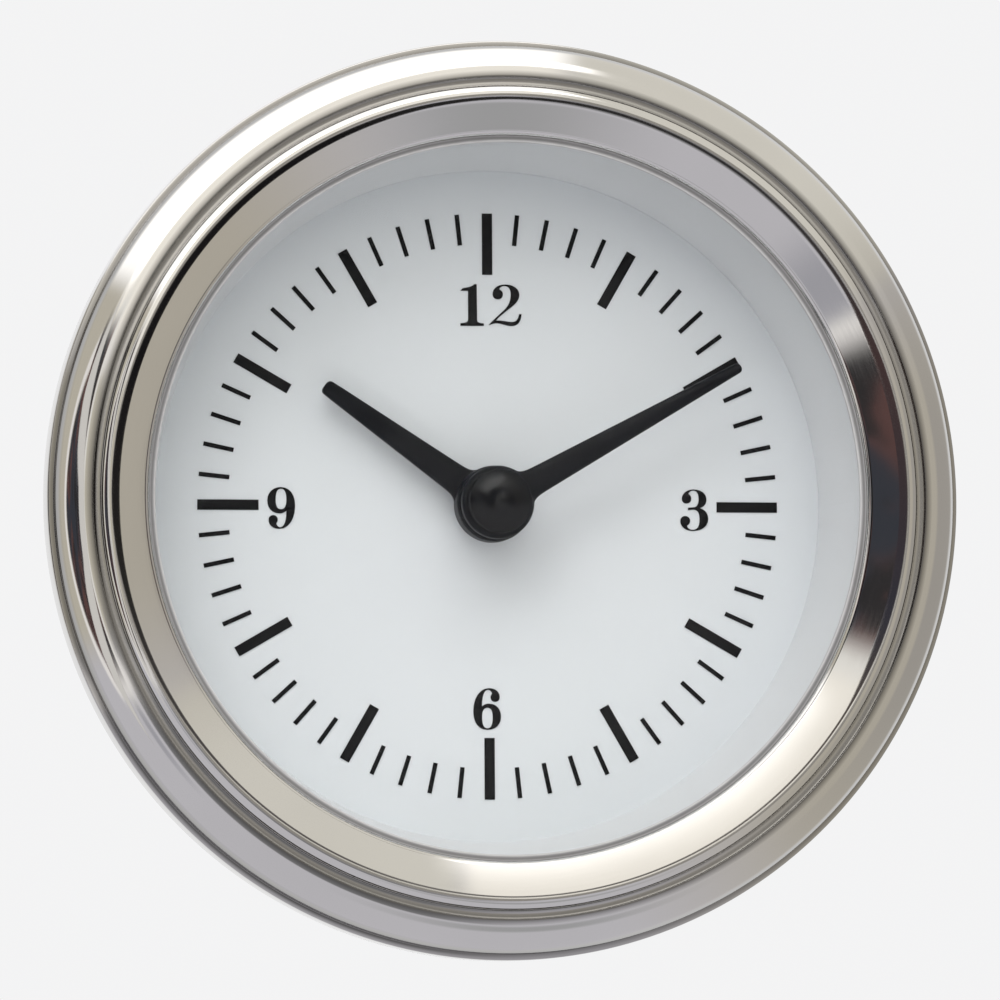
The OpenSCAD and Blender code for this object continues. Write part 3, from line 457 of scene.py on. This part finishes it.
cap = lathe("centre_cap", cap_profile(), CAP_BLACK)
stand_for(cap, "hub_cap", "minute_arbor")


# Rear fastenings: studs with their thread and nuts with chamfered corners

CASE_BACK, CASE_WALL = -29.0, 0.7
STUD_R, STUD_X, STUD_END, PITCH, CREST = 2.0, 16.0, -45.0, 0.7, 0.38
HEAD_R, HEAD_T, HEAD_ROUND = 4.0, 1.0, 0.2      # the stud's head inside the can
POINT_L, POINT_SLOPE = 0.55, 0.9                # the chamfer at the stud's end
WASHER_T, NUT_T, NUT_HALF, NUT_PLAY, NUT_MOUTH = 0.7, 3.2, 3.5, 0.03, 0.3
PLATED = varied("plated_hardware", (0.6, 0.6, 0.58), 0.32, metal=1.0, spread=0.1, grain=2200.0,
                relief=0.25, rough_spread=0.1)


def ring_mesh(name, rings, x, material, smooth, hollow=False):
    """A skin over rings of (radius by turn, z) about an axis at x, capped, or back to its start."""
    n, m = len(rings[0][0]), len(rings)
    verts = [row(x + r * math.cos(2 * math.pi * i / n), r * math.sin(2 * math.pi * i / n), z)
             for radii, z in rings for i, r in enumerate(radii)]
    faces = [(k * n + i, k * n + (i + 1) % n, (k + 1) % m * n + (i + 1) % n, (k + 1) % m * n + i)
             for k in range(m if hollow else m - 1) for i in range(n)]
    if not hollow:
        faces += [tuple(range(n)), tuple((m - 1) * n + i for i in reversed(range(n)))]
    return mesh_object(name, verts, faces, material, smooth)


def threaded_stud(name, x):
    """A stud with a round head in the can, a thread from its root on and a chamfered end."""
    n, floor_z = 32, CASE_BACK + CASE_WALL
    head_z, root_z, last_z = floor_z + HEAD_T, floor_z - 0.3, STUD_END + 0.02
    rings = [([r] * n, z) for r, z in (
        (0.01, head_z), (HEAD_R - HEAD_ROUND, head_z), (HEAD_R, head_z - HEAD_ROUND),
        (HEAD_R, floor_z), (STUD_R, floor_z), (STUD_R, root_z))]
    z = root_z
    while z > last_z:
        z = max(z - PITCH / 7, last_z)
        taper = max(0.0, POINT_L - (z - STUD_END)) * POINT_SLOPE
        radii = []
        for i in range(n):
            phase = (z / PITCH - i / n) % 1.0
            depth = CREST * min(1.0, max(0.0, 1.25 * (1 - abs(2 * phase - 1)) - 0.12))
            radii.append(min(STUD_R - depth, STUD_R - taper))
        rings.append((radii, z))
    rings += [([STUD_R - 0.6] * n, STUD_END), ([0.01] * n, STUD_END)]
    return ring_mesh(name, rings, x, PLATED, True)


def chamfered_nut(name, x):
    """A hexagon nut whose corners are cut by a cone, steeply at the back, slightly in front."""
    n, cuts, front = 72, 6, CASE_BACK - WASHER_T
    back, bore = front - NUT_T, STUD_R + NUT_PLAY
    six = [NUT_HALF / math.cos((2 * math.pi * i / n) % (math.pi / 3) - math.pi / 6)
           for i in range(n)]
    rings = [([bore] * n, front), ([bore] * n, back + NUT_MOUTH),
             ([STUD_R + NUT_MOUTH] * n, back)]
    for k in range(cuts):
        rings.append(([min(r, NUT_HALF - 0.1 + 0.12 * k) for r in six], back + 0.055 * k))
    rings.append((six, back + 0.055 * cuts))
    for k in reversed(range(cuts)):
        rings.append(([min(r, NUT_HALF - 0.02 + 0.11 * k) for r in six], front - 0.03 * k))
    return ring_mesh(name, rings, x, PLATED, False, hollow=True)


for side_name, side_x in (("left", -STUD_X), ("right", STUD_X)):
    stand_for(threaded_stud("stud_" + side_name, side_x), "mounting_studs", "case")
    stand_for(chamfered_nut("nut_" + side_name, side_x), "stud_nuts", "case")


# Materials of the pieces that stay as the solids make them

RESIN = varied("movement_resin", (0.55, 0.5, 0.4), 0.5, spread=0.08, grain=1500.0)
BRASS = turned("movement_brass", (0.72, 0.53, 0.25), 0.24, pitch=5000.0)
STEEL = varied("bright_steel", (0.56, 0.56, 0.57), 0.25, metal=1.0, spread=0.05, grain=3000.0)
ACETAL = varied("acetal", (0.8, 0.78, 0.72), 0.4, spread=0.03, grain=1200.0, relief=0.08)
CAN = varied("plated_can", (0.56, 0.57, 0.575), 0.34, metal=1.0, spread=0.07, grain=1400.0,
             relief=0.2, depth=8e-6, rough_spread=0.09, patch=70.0)
BLACK_MOULDED = varied("black_moulding", (0.02, 0.02, 0.021), 0.42, spread=0.2, grain=2400.0,
                       relief=0.35, depth=1.5e-5)
BLADES = varied("blade_brass", (0.74, 0.68, 0.5), 0.26, metal=1.0, spread=0.08, grain=2600.0)
DIAL_WHITE = varied("white_dial", (0.672, 0.705, 0.738), 0.55, spread=0.012, grain=2600.0,
                    relief=0.05, depth=4e-6, rough_spread=0.05, patch=60.0, specular=0.35)
RING_WHITE = varied("white_ring", (0.677, 0.696, 0.719), 0.6, spread=0.015, grain=2000.0,
                    relief=0.08, depth=5e-6, patch=60.0, specular=0.3)
INK = varied("dial_ink", (0.006, 0.006, 0.007), 0.55, spread=0.3, grain=4000.0, relief=0.1,
             depth=3e-6, specular=0.15)

LOOKS = {
    "polished_steel": POLISHED,
    "lens": glass("lens_clear", (0.97, 0.985, 0.98), ior=1.12),
    # The gasket's dark ring at 23.45 mm, under the lip's edge, is painted shade in the gap under
    # the lip
    "black_rubber": paint_shade_rings(
        varied("grey_rubber", (0.5, 0.5, 0.51), 0.7, spread=0.1, relief=0.3, specular=0.3),
        (((23.45, 4.3), 0.22, 1.0, 1.0),), (0.07, 0.07, 0.073)),
    "plated_can": CAN, "white_ring": RING_WHITE, "white_dial": DIAL_WHITE, "dial_ink": INK,
    "hand_black": HAND_BLACK, "cap_black": CAP_BLACK, "movement_resin": RESIN,
    "movement_brass": BRASS, "bright_steel": STEEL, "acetal": ACETAL,
    "spring_bronze": varied("spring_bronze", (0.6, 0.36, 0.18), 0.3, metal=1.0),
    "magnet": varied("magnet", (0.1, 0.1, 0.105), 0.55, metal=0.6, spread=0.2, relief=0.4),
    "magnetic_steel": varied("magnetic_steel", (0.42, 0.43, 0.46), 0.45, metal=1.0),
    "bobbin_white": varied("bobbin_white", (0.8, 0.79, 0.74), 0.45, spread=0.03),
    "board_green": varied("board_green", (0.02, 0.13, 0.06), 0.35, spread=0.15, coat=0.5,
                          patch=260.0),
    "plated_hardware": PLATED,
    "crystal_can": varied("crystal_can", (0.66, 0.66, 0.66), 0.22, metal=1.0, spread=0.04),
    "chip_black": varied("chip_black", (0.02, 0.02, 0.021), 0.55, spread=0.2, relief=0.3),
    "capacitor_blue": varied("capacitor_blue", (0.02, 0.035, 0.12), 0.3, spread=0.1),
    "resistor_tan": varied("resistor_tan", (0.55, 0.42, 0.25), 0.3, spread=0.1),
    "blade_brass": BLADES, "black_moulding": BLACK_MOULDED,
    "bulb_glass": glass("bulb_glass", (0.99, 0.98, 0.94)),
    "knob_black": varied("knob_black", (0.022, 0.022, 0.024), 0.38, spread=0.2, grain=2400.0,
                         relief=0.3),
}


def winding_look():
    """Enamelled copper wire, close turns across the coil's own direction."""
    material, tree, bsdf = new_material("copper_wire")
    vector = object_vector(tree)
    turns = add(tree, "ShaderNodeMapping", inputs={"Rotation": (0, math.radians(-45), 0)})
    tree.links.new(vector, turns.inputs["Vector"])
    wave = add(tree, "ShaderNodeTexWave", bands_direction="X", inputs={
        "Scale": 2600.0, "Distortion": 1.2, "Detail": 2.0})
    tree.links.new(turns.outputs[0], wave.inputs["Vector"])
    tree.links.new(blend_colour(tree, wave.outputs["Fac"], (0.2, 0.05, 0.02), (0.62, 0.24, 0.1)),
                   bsdf.inputs["Base Color"])
    tree.links.new(remap(tree, wave.outputs["Fac"], 0, 1, 0.45, 0.25), bsdf.inputs["Roughness"])
    bump(tree, bsdf, wave.outputs["Fac"], 0.6, 3e-5)
    bsdf.inputs["Metallic"].default_value = 0.9
    return material


LOOKS["copper_wire"] = winding_look()

SLOTS = {part["node"]: part["material_slot"] for part in frame["record"]["subparts"]}
for node_name, node_object in NODES.items():
    look = LOOKS[SLOTS[node_name]]
    node_object.data.materials.clear()
    node_object.data.materials.append(look)

BEVELS = {
    "case": 0.12, "terminal_block": 0.25, "blade_terminals": 0.08,
    "stud_washers": 0.1, "case_screws": 0.12, "setting_knob": 0.12,
    "lamp_holder": 0.15, "spacer_ring": 0.04,
}
for node_name, width in BEVELS.items():
    edge = NODES[node_name].modifiers.new("edge", "BEVEL")
    edge.width = width * MM
    edge.segments = 3
    edge.limit_method = "ANGLE"
    edge.angle_limit = math.radians(35)
    edge.harden_normals = True


# Room: a plain floor, a soft sky of studio light and the darker shapes that metal mirrors

FLOOR_Z, FLOOR_HALF = -0.21, 3.0


def floor_look():
    material, tree, bsdf = new_material("floor_pale")
    vector = object_vector(tree)
    mottle = noise(tree, vector, 14.0, 4.0)
    tree.links.new(blend_colour(tree, mottle, (0.66, 0.655, 0.69), (0.7, 0.695, 0.72)),
                   bsdf.inputs["Base Color"])
    bsdf.inputs["Roughness"].default_value = 0.9
    return material


floor = mesh_object("floor", [(-FLOOR_HALF, -FLOOR_HALF, FLOOR_Z),
                              (FLOOR_HALF, -FLOOR_HALF, FLOOR_Z),
                              (FLOOR_HALF, FLOOR_HALF, FLOOR_Z),
                              (-FLOOR_HALF, FLOOR_HALF, FLOOR_Z)],
                    [(0, 1, 2, 3)], floor_look(), smooth=False)
floor.visible_glossy = False

# The room is laid out round one direction in front: a clock angle about it, and how far off it.
# The direction is the camera's, set below, mirrored in the dial, and the room's shapes and colours
# were adjusted until the bezel's reflections came near the photograph's. They are fitted
# to that one view, and other views mirror other parts of the room
FACING = Vector((0.163, -0.9845, 0.0654)).normalized()
DEGREES = math.degrees(1.0)

# A small screen in front of the lip, which only mirrors see. It stands for no real thing, and is
# fitted to the same view in the same way. Both tables give a ring by clock angle: from this
# radius, to this radius, its colour
SCREEN_AWAY, SCREEN_HALF, SCREEN_BLUR = 30.0, 95.0, 1.2
SCREEN = (
    (0, 16, 22.5, (0.03, 0.028, 0.028)), (40, 17, 22.5, (0.04, 0.038, 0.04)),
    (58, 15, 22.5, (0.06, 0.05, 0.05)), (70, 6, 24, (0.08, 0.05, 0.05)),
    (108, 6, 24, (0.045, 0.045, 0.06)), (122, 17, 22, (0.12, 0.1, 0.09)),
    (180, 18, 22, (0.2, 0.19, 0.18)), (225, 17, 22.5, (0.1, 0.09, 0.09)),
    (256, 13, 25, (0.03, 0.028, 0.026)), (270, 9, 28, (0.02, 0.018, 0.018)),
    (290, 8, 25, (0.012, 0.011, 0.012)), (335, 10, 23, (0.012, 0.011, 0.012)),
    (350, 14, 22.5, (0.025, 0.024, 0.024)), (359.9, 16, 22.5, (0.03, 0.028, 0.028)))
PALE = (0.88, 0.86, 0.83)
FRAME = (
    (0, 72, 60, PALE), (230, 72, 60, PALE), (239, 62, 72, PALE), (249, 52, 84, PALE),
    (257, 46, 70, PALE), (262, 44, 58, PALE), (272, 44, 58, PALE), (277, 46, 70, PALE),
    (285, 52, 84, PALE), (296, 62, 74, PALE), (304, 72, 60, PALE))
RAMP_MM = 100.0      # a radius is kept in a colour ramp as a share of this


def ring_mask(tree, radius, share, table):
    """How far a point is inside a ring whose radii and colour follow the clock angle."""
    columns = []
    for column in (1, 2, 3):
        ramp = add(tree, "ShaderNodeValToRGB")
        tree.links.new(share, ramp.inputs[0])
        stops = ramp.color_ramp.elements
        while len(stops) > 1:
            stops.remove(stops[-1])
        for k, line in enumerate(table):
            stop = stops[0] if k == 0 else stops.new(line[0] / 360)
            stop.position = line[0] / 360
            value = line[column]
            stop.color = (*(value if column == 3 else (value / RAMP_MM,) * 3), 1)
        columns.append(ramp.outputs[0])
    inner, outer = (math_node(tree, "MULTIPLY", c, MM * RAMP_MM) for c in columns[:2])
    amount = math_node(tree, "DIVIDE", math_node(
        tree, "MINIMUM", math_node(tree, "SUBTRACT", radius, inner),
        math_node(tree, "SUBTRACT", outer, radius)), SCREEN_BLUR * MM)
    clamp = add(tree, "ShaderNodeClamp")
    tree.links.new(amount, clamp.inputs[0])
    return clamp.outputs[0], columns[2]


def screen_look():
    """Dark card for the ridge's dark line and a pale frame for the bead, clear elsewhere."""
    material = bpy.data.materials.new("screen_dark")
    material.use_nodes = True
    tree = material.node_tree
    tree.nodes.remove(tree.nodes["Principled BSDF"])
    radius, turn, _ = axial(tree)
    # From counter-clockwise at 3 o'clock to clockwise at 12, from 0 to 360 degrees
    clock_turn = math_node(tree, "FLOORED_MODULO", math_node(tree, "SUBTRACT", 450.0, math_node(
        tree, "MULTIPLY", turn, DEGREES)), 360.0)
    share = math_node(tree, "DIVIDE", clock_turn, 360.0)
    dark, dark_colour = ring_mask(tree, radius, share, SCREEN)
    frame_part, frame_colour = ring_mask(tree, radius, share, FRAME)
    glow = add(tree, "ShaderNodeEmission")
    tree.links.new(blend_colour(tree, frame_part, dark_colour, frame_colour),
                   glow.inputs["Color"])
    mix = add(tree, "ShaderNodeMixShader")
    tree.links.new(math_node(tree, "MAXIMUM", dark, frame_part), mix.inputs[0])
    tree.links.new(add(tree, "ShaderNodeBsdfTransparent").outputs[0], mix.inputs[1])
    tree.links.new(glow.outputs[0], mix.inputs[2])
    tree.links.new(mix.outputs[0], tree.nodes["Material Output"].inputs["Surface"])
    return material


side = SCREEN_HALF * MM
screen = mesh_object("screen", [(-side, 0, -side), (side, 0, -side), (side, 0, side),
                                (-side, 0, side)], [(0, 1, 2, 3)],
                     screen_look(), smooth=False)
screen.location = row(0, 0, LIP_Z) - FACING / FACING.y * SCREEN_AWAY * MM
screen.visible_camera = False
screen.visible_diffuse = False
screen.visible_shadow = False

world = bpy.data.worlds.new("studio")
bpy.context.scene.world = world
world.use_nodes = True
sky = world.node_tree
for node in list(sky.nodes):
    sky.nodes.remove(node)
direction = add(sky, "ShaderNodeTexCoord").outputs["Generated"]


def in_degrees(value):
    return math_node(sky, "MULTIPLY", value, DEGREES)


split = add(sky, "ShaderNodeSeparateXYZ")
sky.links.new(direction, split.inputs[0])
offset = add(sky, "ShaderNodeVectorMath", operation="SUBTRACT", inputs={1: FACING})
sky.links.new(direction, offset.inputs[0])
off = add(sky, "ShaderNodeSeparateXYZ")
sky.links.new(offset.outputs[0], off.inputs[0])
clock = in_degrees(math_node(sky, "ARCTAN2", off.outputs[0], off.outputs[2]))
dot = add(sky, "ShaderNodeVectorMath", operation="DOT_PRODUCT", inputs={1: FACING})
sky.links.new(direction, dot.inputs[0])
away_by = in_degrees(math_node(sky, "ARCCOSINE", dot.outputs["Value"]))


def edge_up(value, at, soft):
    node = add(sky, "ShaderNodeMapRange", interpolation_type="SMOOTHSTEP",
               inputs={1: at - soft, 2: at + soft, 3: 0.0, 4: 1.0})
    sky.links.new(value, node.inputs[0])
    return node.outputs[0]


def between(value, lo, hi, soft):
    return math_node(sky, "SUBTRACT", edge_up(value, lo, soft), edge_up(value, hi, soft))


def sector(start, end, soft, near, far, blur):
    """1 between two clock angles round the facing direction, from near to far off it."""
    turn = math_node(sky, "FLOORED_MODULO", math_node(sky, "ADD", clock, soft - start), 360)
    return math_node(sky, "MULTIPLY", between(turn, soft, (end - start) % 360 + soft, soft),
                     between(away_by, near, far, blur))


def layer(colour, inside, light):
    return blend_colour(sky, inside, colour, light)


LILAC = (0.72, 0.71, 0.76)      # what lies below, where no field covers it
NEAREST, FARTHEST = -9, 200     # past both ends of how far off a direction can be
# Clock angles from and to and their blur, how far off from and to and its blur, and the light
FIELDS = (
    (162, 194, 15, 27, 45, 5, (0.5, 0.505, 0.52)),               # the lilac's darker end
    (250, 300, 4, NEAREST, FARTHEST, 4, (0.68, 0.64, 0.545)),    # olive at left
    (291, 8, 2.5, NEAREST, 60, 5, (1.3, 1.25, 1.15)),            # light above
    (299, 12, 2.5, 47, FARTHEST, 9, (1.75, 1.73, 1.7)),          # light higher up
    (8, 60, 2.5, NEAREST, FARTHEST, 4, (0.93, 0.9, 0.82)),       # beige wall
    (60, 150, 20, NEAREST, FARTHEST, 4, (0.62, 0.58, 0.5)),      # tan wall
    (68, 128, 20, 44, FARTHEST, 6, (0.49, 0.465, 0.43)),         # its darker side
    (185, 252, 9, 3, 21, 2, (0.3, 0.3, 0.31)),                   # grey low down
    (302, 10, 4, 41, 60, 5, (3.6, 3.53, 3.46)),                  # the window
    (0, 359.9, 0.01, NEAREST, 5, 2, (0.38, 0.36, 0.33)),         # dark straight ahead
    (230, 243, 5, 30, 43, 3, (0.5, 0.5, 0.55)),                  # shade beside the door
    (242, 298, 2, 28, 45, 3, (1.15, 1.13, 1.08)),                # door frame
)
colour = LILAC
for first, last, soft, close, far, blur, light in FIELDS:
    colour = layer(colour, sector(first, last, soft, close, far, blur), light)

# The doorway is a rounded shape on the same two angles: its middle, and half its width and depth
DOOR_CLOCK, DOOR_WIDE, DOOR_SQUARE = 267.0, 19.0, 1.6
DOOR_OFF, DOOR_DEEP, DOOR_ROUND = 69.0, 27.0, 1.4
across = math_node(sky, "ABSOLUTE", math_node(sky, "SUBTRACT", math_node(
    sky, "FLOORED_MODULO", math_node(sky, "ADD", clock, 540.0 - DOOR_CLOCK), 360.0), 180.0))
along = math_node(sky, "MAXIMUM", math_node(sky, "SUBTRACT", away_by, DOOR_OFF), 0.0)
spare = math_node(sky, "SUBTRACT", 1.0, math_node(
    sky, "ADD",
    math_node(sky, "POWER", math_node(sky, "DIVIDE", across, DOOR_WIDE), DOOR_SQUARE),
    math_node(sky, "POWER", math_node(sky, "DIVIDE", along, DOOR_DEEP), DOOR_ROUND)))
blue_black, red_brown, near_black = (0.055, 0.06, 0.075), (0.15, 0.08, 0.075), (0.04, 0.038, 0.04)
brown = layer(blue_black, edge_up(noise(sky, direction, 5.5, 2.0), 0.5, 0.05), red_brown)
brown = layer(brown, edge_up(noise(sky, direction, 11.0, 2.0), 0.56, 0.03), near_black)
colour = layer(colour, between(spare, -0.5, -0.05, 0.12), (1.15, 1.12, 1.1))
colour = layer(colour, sector(246, 293, 3, 33, 70, 1.5), brown)
colour = layer(colour, math_node(sky, "MULTIPLY", edge_up(spare, 0.0, 0.12),
                                 edge_up(away_by, 50, 2)), brown)

# The plain backdrop, for the camera and for what mirrors and glass show from behind the clock
BACKDROP = (0.9, 0.9, 0.905)
behind = edge_up(split.outputs[1], 0.6, 0.15)
path = add(sky, "ShaderNodeLightPath")
bent = math_node(sky, "MAXIMUM", path.outputs["Is Glossy Ray"],
                 path.outputs["Is Transmission Ray"])
seen = math_node(sky, "MAXIMUM", path.outputs["Is Camera Ray"],
                 math_node(sky, "MULTIPLY", bent, behind))
colour = layer(colour, seen, BACKDROP)
back = add(sky, "ShaderNodeBackground")
sky.links.new(colour, back.inputs["Color"])
sky.links.new(back.outputs[0], add(sky, "ShaderNodeOutputWorld").inputs["Surface"])

scene = bpy.context.scene
scene.view_settings.view_transform = "Standard"

# One soft lamp, above the clock and to its left

LAMP_AT, LAMP_WIDTH, LAMP_HEIGHT, LAMP_WATTS = row(-130, 250, 730), 0.8, 0.65, 1.08
lamp_data = bpy.data.lights.new("soft_box", "AREA")
lamp_data.shape = "RECTANGLE"
lamp_data.size, lamp_data.size_y = LAMP_WIDTH, LAMP_HEIGHT
lamp_data.energy = LAMP_WATTS
lamp = bpy.data.objects.new("soft_box", lamp_data)
scene.collection.objects.link(lamp)
lamp.location = LAMP_AT
lamp.rotation_mode = "QUATERNION"
lamp.rotation_quaternion = (-LAMP_AT).to_track_quat("-Z", "Y")
lamp.visible_glossy = False

# Camera: a long lens, to the left of the dial's axis and a little below it

CAMERA_AZIMUTH, CAMERA_ELEVATION = -9.4, -3.75
CAMERA_DISTANCE = 0.7
CAMERA_ROLL = -0.3
FRAME_WIDTH = 0.0651           # what the frame spans at the clock
AIM = row(-0.33, -0.04, 2.5)
camera_data = bpy.data.cameras.new("camera")
camera = bpy.data.objects.new("camera", camera_data)
scene.collection.objects.link(camera)
left, up = math.radians(CAMERA_AZIMUTH), math.radians(CAMERA_ELEVATION)
away = Vector((math.sin(left) * math.cos(up), -math.cos(left) * math.cos(up), math.sin(up)))
camera.location = AIM + away * CAMERA_DISTANCE
camera.rotation_mode = "QUATERNION"
camera.rotation_quaternion = ((-away).to_track_quat("-Z", "Y")
                              @ Quaternion((0, 0, 1), math.radians(CAMERA_ROLL)))
camera_data.sensor_width = 36.0
camera_data.lens = camera_data.sensor_width * CAMERA_DISTANCE / FRAME_WIDTH
camera_data.clip_start, camera_data.clip_end = 0.01, 20.0
scene.camera = camera
